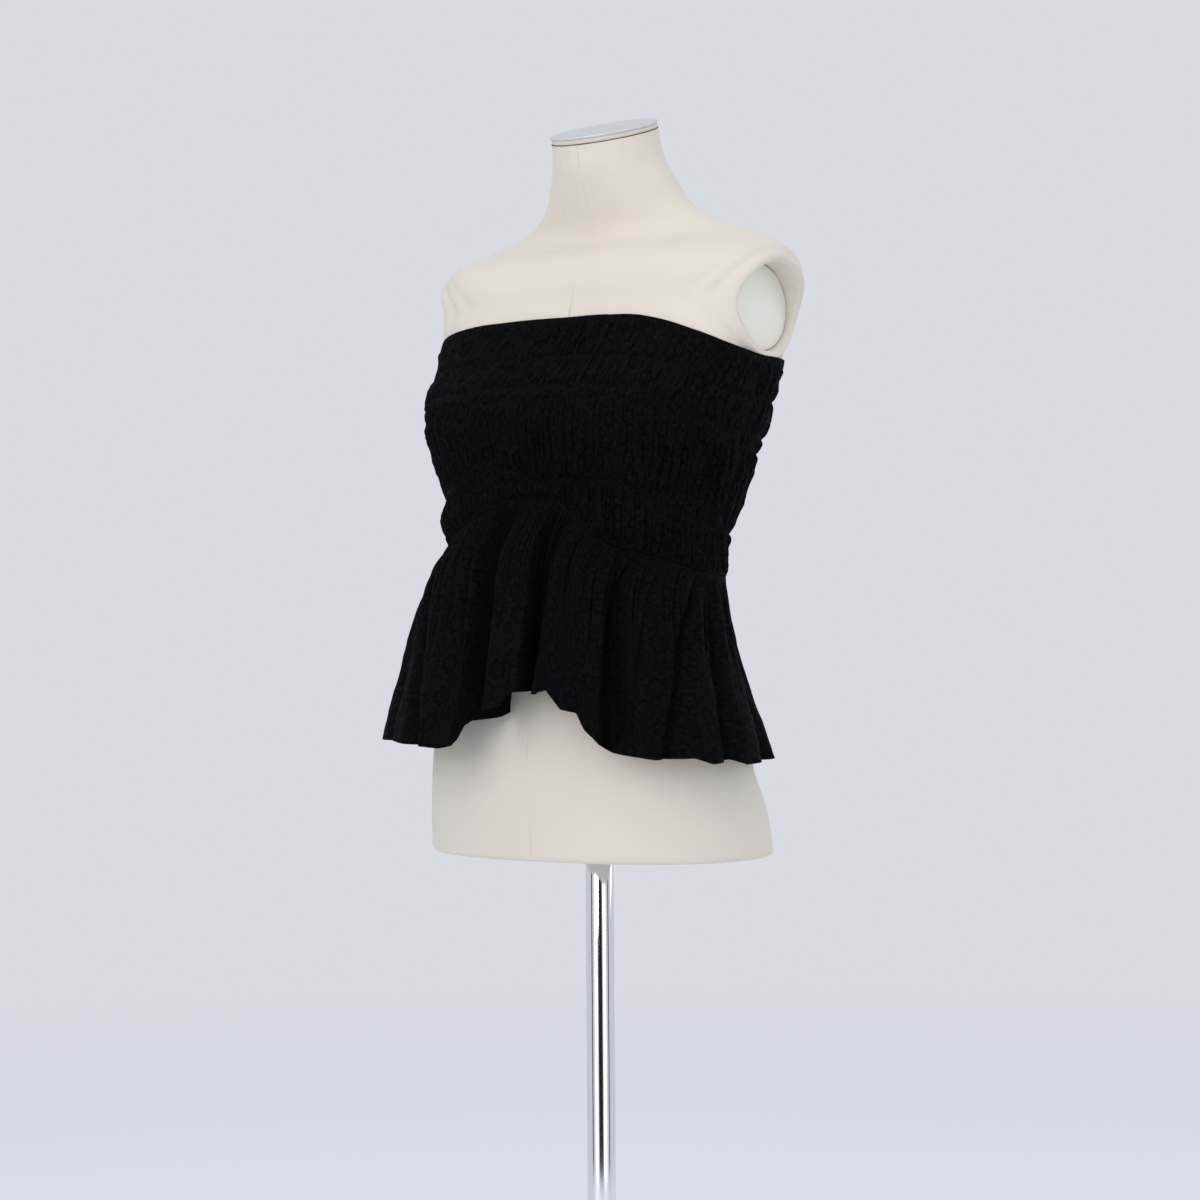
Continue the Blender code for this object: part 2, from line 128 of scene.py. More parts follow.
def wrapGrid(piece, points, across, down):
    # moves the grid's points, row by row, and keeps real millimetres across and down as its UV map
    mesh = piece.data
    mesh.vertices.foreach_set("co", (points.reshape(-1, 3) * mm).astype(np.float32).ravel())
    corners = np.zeros(len(mesh.loops), np.int32)
    mesh.loops.foreach_get("vertex_index", corners)
    shape = points.shape[:2]
    flat = np.stack([np.broadcast_to(across, shape).ravel(), np.broadcast_to(down, shape).ravel()], axis=-1)
    mesh.uv_layers[0].data.foreach_set("uv", flat[corners].astype(np.float32).ravel())
    mesh.update()


def cleanUp(piece):
    # merges the doubles and turns the faces outwards
    makeActive(piece)
    bpy.ops.object.mode_set(mode="EDIT")
    bpy.ops.mesh.select_all(action="SELECT")
    bpy.ops.mesh.remove_doubles(threshold=0.00001)
    bpy.ops.mesh.normals_make_consistent(inside=False)
    bpy.ops.object.mode_set(mode="OBJECT")


def applyModifier(piece, kind, settings):
    modifier = piece.modifiers.new(kind.title(), kind)
    for name, value in settings.items():
        setattr(modifier, name, value)
    makeActive(piece)
    bpy.ops.object.modifier_apply(modifier=modifier.name)


def softNoise(x, y, seed):
    # smooth, seeded bumps about one unit apart, from -1 to 1
    left, low = np.floor(x), np.floor(y)
    u, v = x - left, y - low
    u, v = u * u * (3 - 2 * u), v * v * (3 - 2 * v)

    def corner(i, j):
        return np.modf(np.abs(np.sin(i * 12.9898 + j * 78.233 + seed * 37.719) * 43758.5453))[0] * 2 - 1

    bottom = corner(left, low) * (1 - u) + corner(left + 1, low) * u
    top = corner(left, low + 1) * (1 - u) + corner(left + 1, low + 1) * u
    return bottom * (1 - v) + top * v


def smoothStep(value, start, end):
    part = np.clip((value - start) / (end - start), 0, 1)
    return part * part * (3 - 2 * part)


def bump(value, middle, width):
    return np.exp(-((value - middle) / width) ** 2)


def signedAngle(angle):
    return (angle + 180) % 360 - 180


def fromFront(angle):
    return np.abs(signedAngle(angle))


def along(table, column, height):
    # a smooth curve through one column of a table whose first column is the height
    rows = np.array(sorted(table), float)
    heights, values = rows[:, 0], rows[:, column]
    slopes = np.gradient(values, heights)
    level = np.clip(height, heights[0], heights[-1])
    row = np.clip(np.searchsorted(heights, level) - 1, 0, len(heights) - 2)
    span = heights[row + 1] - heights[row]
    part = (level - heights[row]) / span
    rise = part * part * (3 - 2 * part)
    ends = slopes[row] * span * part * (1 - part) ** 2 + slopes[row + 1] * span * part * part * (part - 1)
    return values[row] + (values[row + 1] - values[row]) * rise + ends


def ovalRadius(angle, halfWidth, halfDepth, squareness):
    side = np.abs(np.sin(np.radians(angle))) / halfWidth
    fore = np.abs(np.cos(np.radians(angle))) / halfDepth
    return (side ** squareness + fore ** squareness) ** (-1 / squareness)


def placed(angle, radius, centre, height):
    turn = np.radians(angle)
    across = radius * np.sin(turn)
    back = centre - radius * np.cos(turn)
    return np.stack(np.broadcast_arrays(across, back, height), axis=-1)


# camera, at the photograph's angle: level with the waist and well round to the form's left
view = {"azimuth": 33.0, "distance": 2.83, "height": 1.072, "lens": 85.0, "roll": -0.42, "aside": 0.0025}

cameraData = bpy.data.cameras.new("camera")
camera = bpy.data.objects.new("camera", cameraData)
bpy.context.scene.collection.objects.link(camera)
cameraData.lens = view["lens"]
cameraData.sensor_width = 36.0
turn = np.radians(view["azimuth"])
pan = turn - view["aside"] / view["distance"]
facing = Matrix.Rotation(pan, 4, "Z") @ Matrix.Rotation(np.pi / 2, 4, "X")
spot = (view["distance"] * np.sin(turn), -view["distance"] * np.cos(turn), view["height"])
camera.matrix_world = Matrix.Translation(spot) @ facing @ Matrix.Rotation(np.radians(view["roll"]), 4, "Z")
bpy.context.scene.camera = camera
bpy.context.scene.view_settings.view_transform = "Standard"
bpy.context.scene.view_settings.look = "None"
print("camera set")

# materials of the form and its stand


def mottledMaterial(name, values, noise, dark, light):
    # a material whose colour wanders between two close tones
    material, tree, shader = newMaterial(name, values)
    coords = addNode(tree, "ShaderNodeTexCoord").outputs["Object"]
    mottle = addNode(tree, "ShaderNodeTexNoise", values=noise, links={"Vector": coords}).outputs["Fac"]
    tone = addNode(tree, "ShaderNodeMix", {"data_type": "RGBA"},
                   {colourA: toLinear(dark), colourB: toLinear(light)}, {0: mottle})
    tree.links.new(tone.outputs[colourOut], shader.inputs["Base Color"])
    return material, tree, shader, coords, mottle


# Stretch cotton jersey pulled over foam: warm off-white, quite matt, with a faint knit.
formJersey, tree, shader, coords, mottle = mottledMaterial(
    "coverStretchJersey", {"Roughness": 0.88, "Sheen Weight": 0.12, "Sheen Roughness": 0.5, "IOR": 1.45},
    {"Scale": 14.0, "Detail": 4.0}, "#d1c9bd", "#d7cfc3")
# real wales are 0.5 mm apart, drawn here at 1.6 mm so that they show
knit = addNode(tree, "ShaderNodeTexVoronoi", values={"Scale": 620.0}, links={"Vector": coords})
slub = addNode(tree, "ShaderNodeTexNoise", values={"Scale": 90.0, "Detail": 3.0}, links={"Vector": coords})
lumps = addNode(tree, "ShaderNodeMath", {"operation": "MULTIPLY_ADD"}, {1: 0.35},
                {0: knit.outputs["Distance"], 2: slub.outputs["Fac"]})
nap = addNode(tree, "ShaderNodeBump", values={"Strength": 0.25, "Distance": 0.0006},
              links={"Height": lumps.outputs[0]})
tree.links.new(nap.outputs[0], shader.inputs["Normal"])

# Thick card covered in plain cotton, slightly green beside the cover's cream.
plateCotton, tree, shader, coords, mottle = mottledMaterial(
    "platePlainCotton", {"Roughness": 0.8, "Sheen Weight": 0.05}, {"Scale": 40.0, "Detail": 3.0},
    "#dedfd2", "#e4e4d9")
# threads of plain cotton, drawn 1.25 mm apart so that they show
weave = addNode(tree, "ShaderNodeTexVoronoi", {"distance": "CHEBYCHEV"}, {"Scale": 800.0, "Randomness": 0.2},
                {"Vector": coords})
nap = addNode(tree, "ShaderNodeBump", values={"Strength": 0.2, "Distance": 0.0003},
              links={"Height": weave.outputs["Distance"]})
tree.links.new(nap.outputs[0], shader.inputs["Normal"])

# Injection-moulded ABS with a fine spark finish: cool light grey, low gloss.
# Its grains are drawn 1.1 mm across.
capPlastic, tree, shader, coords, grain = mottledMaterial(
    "capMouldedAbs", {"Roughness": 0.42, "IOR": 1.53}, {"Scale": 900.0, "Detail": 2.0}, "#bdbdc0", "#c6c6c9")
nap = addNode(tree, "ShaderNodeBump", values={"Strength": 0.15, "Distance": 0.0002}, links={"Height": grain})
tree.links.new(nap.outputs[0], shader.inputs["Normal"])

# Painted shadow: a thin warm dark ring round the neck, below the band of cover cloth, where the gap to the
# neck's top lies in shade.
neckShadowRing = mottledMaterial("neckPaintedShadow", {"Roughness": 0.7}, {"Scale": 700.0}, "#4a3d36", "#6a584c")[0]

# Steel tube and spun base, chrome plated and buffed: mirror bright, with faint handling haze.
chromePlate, tree, shader, coords, haze = mottledMaterial(
    "standChromePlate", {"Metallic": 1.0, "Roughness": 0.08}, {"Scale": 9.0, "Detail": 5.0},
    "#dcdee2", "#e8eaed")
gloss = addNode(tree, "ShaderNodeMapRange", values={"To Min": 0.05, "To Max": 0.13}, links={"Value": haze})
tree.links.new(gloss.outputs[0], shader.inputs["Roughness"])


# the knit's pattern in millimetres: how far apart its two sizes of medallions lie, their petals, rings and
# unevenness, how strong each is, the patches to a millimetre where it fades, and the spacing of the rib
knitPattern = {
    "big": (29.0, 7, 3, 0.9), "small": (9.5, 5, 2, 0.9), "bigShare": 0.8, "smallShare": 0.55,
    "petalPush": 0.16, "contrast": 2.2, "cellShare": 0.52, "patches": 0.06, "rib": 0.9475, "ribShare": 0.35,
}


def blackKnit(name, lift):
    # Jacquard knit, piece dyed black: matt ground, tone-on-tone medallions that stand up a little and catch
    # the light, and a fine rib. Its pattern follows the cloth, in real millimetres on the UV map.
    material, tree, shader = newMaterial(name, {"Roughness": 0.72, "Sheen Weight": 0.006,
                                                "Sheen Roughness": 0.4, "Specular IOR Level": 0.03})
    shader.inputs["Sheen Tint"].default_value = toLinear("#8c8fa0")
    flat = addNode(tree, "ShaderNodeUVMap").outputs["UV"]

    def medallions(spacing, petals, rings, wander):
        # rings of petals about points that lie roughly the spacing apart
        cells = addNode(tree, "ShaderNodeTexVoronoi", {"voronoi_dimensions": "2D"},
                        {"Scale": 1 / spacing, "Randomness": wander}, {"Vector": flat})
        fromMiddle = addNode(tree, "ShaderNodeVectorMath", {"operation": "SUBTRACT"},
                             links={0: flat, 1: cells.outputs["Position"]})
        spokes = addNode(tree, "ShaderNodeSeparateXYZ", links={"Vector": fromMiddle.outputs[0]})
        ringsOut = addNode(tree, "ShaderNodeMath", {"operation": "MULTIPLY"}, {1: rings},
                           {0: cells.outputs["Distance"]}).outputs[0]
        inside = addNode(tree, "ShaderNodeMath", {"operation": "LESS_THAN"}, {1: knitPattern["cellShare"]},
                         {0: cells.outputs["Distance"]}).outputs[0]
        # the angle round the middle becomes petals, the petals push the rings, and the rings are flattened
        steps = [("ARCTAN2", {}, {1: spokes.outputs[1]}), ("MULTIPLY", {1: petals}, {}), ("SINE", {}, {}),
                 ("MULTIPLY_ADD", {1: knitPattern["petalPush"]}, {2: ringsOut}),
                 ("MULTIPLY", {1: 2 * np.pi}, {}), ("SINE", {}, {}),
                 ("MULTIPLY", {1: knitPattern["contrast"]}, {}), ("SMOOTH_MIN", {1: 1.0, 2: 0.6}, {}),
                 ("MULTIPLY", {}, {1: inside})]
        value = spokes.outputs[0]
        for operation, values, links in steps:
            step = addNode(tree, "ShaderNodeMath", {"operation": operation}, values, {0: value, **links})
            value = step.outputs[0]
        return value

    big = medallions(*knitPattern["big"])
    small = medallions(*knitPattern["small"])
    bigPart = addNode(tree, "ShaderNodeMath", {"operation": "MULTIPLY"}, {1: knitPattern["bigShare"]},
                      {0: big})
    motif = addNode(tree, "ShaderNodeMath", {"operation": "MULTIPLY_ADD"}, {1: knitPattern["smallShare"]},
                    {0: small, 2: bigPart.outputs[0]})
    patches = addNode(tree, "ShaderNodeTexNoise", {"noise_dimensions": "2D"},
                      {"Scale": knitPattern["patches"], "Detail": 3.0}, {"Vector": flat})
    raised = addNode(tree, "ShaderNodeMath", {"operation": "MULTIPLY"},
                     links={0: motif.outputs[0], 1: patches.outputs["Fac"]}).outputs[0]
    shade = addNode(tree, "ShaderNodeMapRange", values={"From Min": -0.6, "From Max": 0.9},
                    links={"Value": raised})
    tone = addNode(tree, "ShaderNodeMix", {"data_type": "RGBA"},
                   {colourA: toLinear("#050506"), colourB: toLinear(lift)}, {0: shade.outputs[0]})
    tree.links.new(tone.outputs[colourOut], shader.inputs["Base Color"])
    shine = addNode(tree, "ShaderNodeMapRange", values={"From Min": -0.6, "From Max": 0.9, "To Min": 0.82,
                                                        "To Max": 0.6}, links={"Value": raised})
    tree.links.new(shine.outputs[0], shader.inputs["Roughness"])
    # the real rib is 0.7 mm, drawn a little coarser; a Wave texture at scale 1 repeats every pi / 10
    rib = addNode(tree, "ShaderNodeTexWave", {"bands_direction": "X"},
                  {"Scale": np.pi / 10 / knitPattern["rib"], "Distortion": 1.2, "Detail": 1.0},
                  {"Vector": flat})
    height = addNode(tree, "ShaderNodeMath", {"operation": "MULTIPLY_ADD"}, {1: knitPattern["ribShare"]},
                     {0: rib.outputs["Fac"], 2: raised})
    relief = addNode(tree, "ShaderNodeBump", values={"Strength": 0.65, "Distance": 0.0006},
                     links={"Height": height.outputs[0]})
    tree.links.new(relief.outputs[0], shader.inputs["Normal"])
    return material


# two copies of one cloth: the bodice's medallions get a lighter lift than the peplum's, painted light that
# makes the gathered bodice read a little brighter
bodiceKnit = blackKnit("topJacquardKnitGathered", "#0e0e10")
peplumKnit = blackKnit("topJacquardKnit", "#0c0c0e")

# Polyester sewing thread, dyed to the cloth: a smooth dull lustre.
sewingThread = mottledMaterial("threadSpunPolyester", {"Roughness": 0.7, "Specular IOR Level": 0.06},
                               {"Scale": 1500.0}, "#060607", "#0b0b0d")[0]
print("materials made")

# the form

# height, half width, half depth, how far back the middle lies, squareness, forward tilt in degrees
formSections = [
    (820, 182, 124, 3, 2.2, 0), (868, 178, 121, -4, 2.2, 0), (900, 172, 115, -13, 2.2, 0),
    (945, 165, 109, -17, 2.2, 0), (1000, 152, 102, -16, 2.2, 0), (1050, 137, 94, -11, 2.2, 0),
    (1096, 126, 87, -7, 2.2, 0), (1147, 135, 92, -7, 2.3, 0), (1176, 146, 101, -3, 2.4, 0),
    (1207, 158, 112, -2, 2.5, 0), (1247, 170, 121, -2, 2.6, 0), (1270, 174, 118, 4, 2.7, 0),
    (1306, 177, 103, 23, 3.0, 0), (1337, 181, 92, 37, 3.4, 0), (1362, 186, 88, 43, 3.6, 0),
    (1388, 191, 86, 46, 3.7, 0), (1405, 190, 81, 47, 3.4, 0), (1417, 185, 72, 49, 2.8, 0),
    (1426, 172, 61, 53, 2.2, 0), (1433, 156, 57, 55, 1.8, 0), (1440, 136, 57, 55, 1.65, 0),
    (1448, 114, 58, 54, 1.65, 0), (1458, 95, 59, 50, 1.75, 1), (1472, 78, 58, 43, 1.9, 4),
    (1490, 67, 57, 35, 2.0, 8), (1509, 58, 56, 27, 2.0, 12), (1538, 54, 54, 20, 2.0, 17),
]
formCover = {
    "columns": 441, "bunching": 4.5,  # columns lie closer at the sides and at the centres
    "rows": [(827, 930, 30), (942, 1290, 30), (1294, 1538, 98)],  # from and to which height, and how many
    "foot": 820, "rounding": 7, "socketRadius": 14.6, "socketDepth": 60, "socketEdge": 2,
    "seamAngles": [0, -32, 32, -90, 90, -148, 148, 180], "seamDepth": 0.3, "seamWidth": 1.3,
    "unevenness": 0.25, "middleBack": 20, "patternRadius": 180,
}
armHole = {
    "height": 1357, "back": 36, "halfHeight": 42, "halfDepth": 49, "margin": 1.0, "floor": 166, "cutter": 60,
    "roll": 3.2, "rollAt": 6, "rollWidth": 6.5, "dip": 4.0,  # the padded ring, and its fall to the recess
    "crease": 3.0, "creaseAt": 14.5, "secondCreaseAt": 21.5, "secondShare": 0.7, "creaseWidth": 2.6,
}
armPlate = {"middle": 168.3, "thickness": 4, "edge": 1.2}


def formRadius(angle, height):
    width = along(formSections, 1, height)
    depth = along(formSections, 2, height)
    return ovalRadius(angle, width, depth, along(formSections, 4, height))


def formPoints(angle, radius, height):
    centre = along(formSections, 3, height)
    points = placed(angle, radius, centre, height)
    tilt = np.radians(along(formSections, 5, height))
    back = points[..., 1] - centre
    points[..., 1] = centre + back * np.cos(tilt)
    points[..., 2] = height + back * np.sin(tilt)
    return points


angles = np.linspace(0, 360, formCover["columns"])
angles = angles - formCover["bunching"] * np.sin(np.radians(2 * angles))
foot = formCover["foot"]
socket = formCover["socketRadius"]
edge = formCover["socketEdge"]
# the socket for the pole comes first, from its closed end down to the foot
rows = []
for radius, level in ((0.0, foot + formCover["socketDepth"]), (socket, foot + formCover["socketDepth"]),
                      (socket, foot + edge), (socket + edge, foot)):
    rows.append(placed(angles, radius, 0, level))
rounding = formCover["rounding"]
for share in (0.35, 0.7, 0.9):
    rows.append(formPoints(angles, (formRadius(angles, foot) - rounding) * share, foot + 0 * angles))
for bend in np.radians([0, 18, 36, 54, 72]):
    level = foot + rounding * (1 - np.cos(bend)) + 0 * angles
    rows.append(formPoints(angles, formRadius(angles, level) - rounding * (1 - np.sin(bend)), level))
for height in np.concatenate([np.linspace(*stretch) for stretch in formCover["rows"]]):
    level = height + 0 * angles
    radius = formRadius(angles, level)
    for seam in formCover["seamAngles"]:
        aside = signedAngle(angles - seam) * np.pi / 180 * radius
        radius = radius - formCover["seamDepth"] * bump(aside, 0, formCover["seamWidth"])
    radius = radius + formCover["unevenness"] * softNoise(angles / 9, level / 30, 3)
    rows.append(formPoints(angles, radius, level))
neckTop = rows[-1]
neckMiddle = neckTop[:-1].mean(axis=0)
for share in (0.93, 0.5, 0.0):
    rows.append(neckMiddle + (neckTop - neckMiddle) * share)
points = np.array(rows)
# the cover rolls over the edge of each arm hole and falls away into the hole
reach = np.hypot((points[..., 1] - armHole["back"]) / armHole["halfDepth"],
                 (points[..., 2] - armHole["height"]) / armHole["halfHeight"])
offEdge = (reach - 1) * (armHole["halfDepth"] + armHole["halfHeight"]) / 2 - armHole["margin"]
onSide = smoothStep(np.abs(points[..., 0]), 120, 150)
swell = armHole["roll"] * bump(offEdge, armHole["rollAt"], armHole["rollWidth"])
swell = swell - armHole["dip"] * smoothStep(-offEdge, -4, 1)
# two creases round the roll, clearest on the chest side, where the cover is stretched over it
toChest = smoothStep(armHole["back"] - points[..., 1], -10, 30) * smoothStep(points[..., 2], 1285, 1310)
points[..., 0] += np.sign(points[..., 0]) * onSide * swell
fall = armHole["crease"] * (0.3 + 0.7 * toChest) * bump(offEdge, armHole["creaseAt"], armHole["creaseWidth"])
second = armHole["crease"] * armHole["secondShare"] * toChest
fall = fall + second * bump(offEdge, armHole["secondCreaseAt"], armHole["creaseWidth"])
fall = fall * smoothStep(np.abs(points[..., 0]), 105, 130)
square = np.cross(np.gradient(points, axis=1), np.gradient(points, axis=0))
square /= np.maximum(np.linalg.norm(square, axis=-1, keepdims=True), 0.000001)
fromMiddle = points[..., :2] - (0, formCover["middleBack"])
outwards = np.sign(np.sum(square[..., :2] * fromMiddle, axis=-1, keepdims=True))
points = points - square * outwards * fall[..., None]
body = addGrid(formCover["columns"], len(points))
wrapGrid(body, points, np.radians(angles) * formCover["patternRadius"], points[..., 2])
cleanUp(body)

# the recess that holds an arm plate is cut out with an oval block
for side in (1, -1):
    deselectAll()
    outBy = side * (armHole["floor"] + armHole["cutter"] / 2)
    bpy.ops.mesh.primitive_cylinder_add(vertices=96, radius=1, depth=armHole["cutter"] * mm,
                                        location=(outBy * mm, armHole["back"] * mm, armHole["height"] * mm),
                                        rotation=(0, np.pi / 2, 0))
    block = bpy.context.object
    block.scale = ((armHole["halfHeight"] + armHole["margin"]) * mm,
                   (armHole["halfDepth"] + armHole["margin"]) * mm, 1)
    bpy.ops.object.transform_apply(location=True, rotation=True, scale=True)
    applyModifier(body, "BOOLEAN", {"operation": "DIFFERENCE", "solver": "EXACT", "object": block})
    bpy.data.objects.remove(block)
finishPiece(body, "formCover", formJersey, ["form_body"], smoothAngle=50)

# arm plates, cut from card: a disc with a rounded edge, squashed to the hole's oval
for side, label in ((1, "left"), (-1, "right")):
    deselectAll()
    outBy = side * armPlate["middle"]
    bpy.ops.mesh.primitive_cylinder_add(vertices=72, radius=1, depth=armPlate["thickness"] * mm,
                                        location=(outBy * mm, armHole["back"] * mm, armHole["height"] * mm),
                                        rotation=(0, np.pi / 2, 0))
    plate = bpy.context.object
    plate.scale = (armHole["halfHeight"] * mm, armHole["halfDepth"] * mm, 1)
    bpy.ops.object.transform_apply(location=True, rotation=True, scale=True)
    applyModifier(plate, "BEVEL", {"width": armPlate["edge"] * mm, "segments": 3, "limit_method": "ANGLE"})
    finishPiece(plate, "armPlate" + label.title(), plateCotton, ["arm_plate_" + label],
                smoothAngle=30)
print("form made")


def turnedPiece(profile, segments, name, material, nodes=(), place=None, smoothAngle=30):
    # a disc that is extruded and scaled ring by ring through (radius, height)
    deselectAll()
    bpy.ops.mesh.primitive_circle_add(vertices=segments, radius=profile[0][0] * mm,
                                      location=(0, 0, profile[0][1] * mm), fill_type="NGON")
    piece = bpy.context.object
    bpy.ops.object.transform_apply(location=True, rotation=True, scale=True)
    bpy.ops.object.mode_set(mode="EDIT")
    bpy.ops.mesh.select_all(action="SELECT")
    for (radius, height), (nextRadius, nextHeight) in zip(profile, profile[1:]):
        grow = nextRadius / radius
        bpy.ops.mesh.extrude_region_move(TRANSFORM_OT_translate={"value": (0, 0, 0)})
        bpy.ops.transform.resize(value=(grow, grow, 1), center_override=(0, 0, 0))
        bpy.ops.transform.translate(value=(0, 0, (nextHeight - height) * mm))
    bpy.ops.object.mode_set(mode="OBJECT")
    cleanUp(piece)
    if place is not None:
        piece.data.transform(place)
    finishPiece(piece, name, material, nodes, smoothAngle)


# neck cap: a moulded disc with a thin rim, over a band of cover cloth and, below that, a thin dark ring of
# painted shadow
neck = {
    "segments": 96, "tilt": 17,
    # the lowest ring is painted shadow: a dark ring where the gap below the band lies in shade
    "shadowRing": [(50, -0.2), (54.0, -0.2), (54.4, 0.1), (54.4, 0.5), (54.0, 0.8), (50, 0.8)],
    "band": [(49, 0.8), (53.4, 0.8), (53.8, 1.5), (53.8, 4.6), (53.4, 5.2), (49, 5.2)],
    "cap": [(49, 5.3), (54.0, 5.3), (54.7, 5.7), (54.8, 6.3), (54.7, 7.2), (54.2, 7.8), (53.2, 8.0),
            (50.4, 8.0), (49.6, 7.7), (48.8, 7.5), (20, 7.6), (2, 7.6)],
}
onNeck = Matrix.Translation([float(v) * mm for v in neckMiddle])
onNeck = onNeck @ Matrix.Rotation(np.radians(neck["tilt"]), 4, "X")
turnedPiece(neck["shadowRing"], neck["segments"], "neckShadowRing", neckShadowRing, place=onNeck)
turnedPiece(neck["band"], neck["segments"], "neckBand", formJersey, place=onNeck)
turnedPiece(neck["cap"], neck["segments"], "neckCap", capPlastic, ["neck_cap"], onNeck, 35)
print("neck made")

# stand: a tube and a spun base

stand = {
    "tubeRadius": 14.25, "tubeFoot": 8.3, "tubeTop": 879.7, "tubeEdge": 1.0,
    "base": [(14.7, 8), (14.7, 43.4), (15.3, 44), (20, 44), (21.4, 43.6), (22, 42), (22, 24), (22.6, 21.4),
             (24.6, 18.6), (28, 17), (40, 15.8), (70, 14.2), (102, 13), (135, 11.2), (157, 9.7), (165, 9),
             (168, 8), (169.4, 6.4), (170, 4), (169.6, 1.4), (168, 0), (120, 0)],
}

deselectAll()
bpy.ops.mesh.primitive_cylinder_add(vertices=96, radius=stand["tubeRadius"] * mm,
                                    depth=(stand["tubeTop"] - stand["tubeFoot"]) * mm,
                                    location=(0, 0, (stand["tubeTop"] + stand["tubeFoot"]) / 2 * mm))
tube = bpy.context.object
bpy.ops.object.transform_apply(location=True, rotation=True, scale=True)
applyModifier(tube, "BEVEL", {"width": stand["tubeEdge"] * mm, "segments": 2, "limit_method": "ANGLE"})
finishPiece(tube, "poleTube", chromePlate, ["pole"], smoothAngle=30)

turnedPiece(stand["base"], 128, "standBase", chromePlate, ["base"])
print("stand made")

# the top's shirred bodice

wall = 1.4  # thickness of the cloth
girthRadius = 166  # turns an angle round the body into a distance across the cloth
# the cloth's edges: angle from the centre front, height
topEdge = [(-180, 1309), (-100, 1310), (-86, 1316), (-75, 1329), (-66, 1340), (-54, 1347), (-40, 1349),
           (0, 1350), (28, 1350), (44, 1347), (52, 1341), (61, 1330), (70, 1319), (84, 1310), (100, 1308),
           (180, 1309)]
waistSeam = [(-180, 1095), (-110, 1095), (-85, 1104), (-57, 1131), (-40, 1148), (-27, 1159), (-10, 1168),
             (6, 1170), (17, 1166), (26, 1155), (33, 1139), (40, 1125), (50, 1119), (62, 1112), (76, 1101),
             (92, 1096), (120, 1095), (180, 1095)]
hemTable = [(-180, 919), (-150, 922), (-120, 918), (-95, 926), (-57, 937), (-41, 934), (-25, 931),
            (-18.2, 934), (-17.4, 957), (-12, 962), (6, 974), (9, 986), (13, 986), (17, 983), (24, 988),
            (29.5, 970), (35, 967), (37.5, 951), (42, 937), (48, 929), (58, 923), (69, 924), (74, 918),
            (83, 921), (86, 916), (120, 918), (150, 920), (180, 919)]
# height, how far the cloth stands off the form at the centre front
frontEase = [(1070, 26), (1110, 25), (1147, 21), (1176, 9), (1207, 2), (1247, 0), (1350, 0)]
# depth below the top edge at the front and at the back, how far the cloth puffs out under it, and the
# gathers of that band: their spacing, depth, sideways slant over the band, and rows of points
elastics = [
    {"front": 0, "back": 0, "puff": 1.5, "pitch": 7.5, "deep": 3.4, "slant": 17.0, "rows": 32},
    {"front": 41, "back": 43, "puff": 2.8, "pitch": 6.5, "deep": 4.0, "slant": 9.0, "rows": 24},
    {"front": 71, "back": 81, "puff": 0.9, "pitch": 6.0, "deep": 1.2, "slant": 2.0, "rows": 11},
    {"front": 84, "back": 95, "puff": 2.7, "pitch": 6.0, "deep": 4.6, "slant": 2.0, "rows": 62},
    {"front": 162, "back": 177, "puff": 5.4, "pitch": 5.8, "deep": 4.2, "slant": -3.0, "rows": 34},
]
bodice = {
    "columns": 451, "offForm": 1.8, "hem": 9, "edgeOut": 2.5, "groove": 0.8, "grooveWidth": 1.6,
    "ripple": 0.9, "swell": 0.28,  # how uneven the rows of elastic and the puffs between them are
    "drawIn": 1.2, "lumps": 1.5, "fineLumps": 0.9, "patternStretch": 1.5,
}
# ranges that the gathers are drawn from, which share of the long ones starts at the band's top or runs all
# the way down, and how shallow and narrow the short ones are beside them
gatherDice = {"place": 0.42, "depth": (0.35, 1.25), "width": (1.1, 2.3), "length": (0.35, 1.0), "bend": 2.0,
              "fromTop": 0.55, "wholeLength": 0.45, "shortDepth": 0.6, "shortWidth": 0.7}


def topHeight(angle):
    return along(topEdge, 1, signedAngle(angle))


def seamHeight(angle):
    return along(waistSeam, 1, signedAngle(angle))


def lowestPuff(angle):
    # the band above the seam puffs out less on the form's left side
    turned = signedAngle(angle)
    return 1 - 0.7 * smoothStep(turned, 20, 70) * (1 - smoothStep(turned, 130, 175))


def elasticHeight(row, angle):
    toBack = (1 - np.cos(np.radians(angle))) / 2
    turn = np.radians(angle)
    ripple = bodice["ripple"] * softNoise(5 * np.cos(turn), 5 * np.sin(turn), row["front"])
    ripple = ripple * (row["front"] > 0)
    return topHeight(angle) - row["front"] - (row["back"] - row["front"]) * toBack + ripple


def clothRadius(angle, height):
    ease = along(frontEase, 1, height) * (1 + np.cos(np.radians(angle))) / 2
    return formRadius(angle, height) + bodice["offForm"] + ease


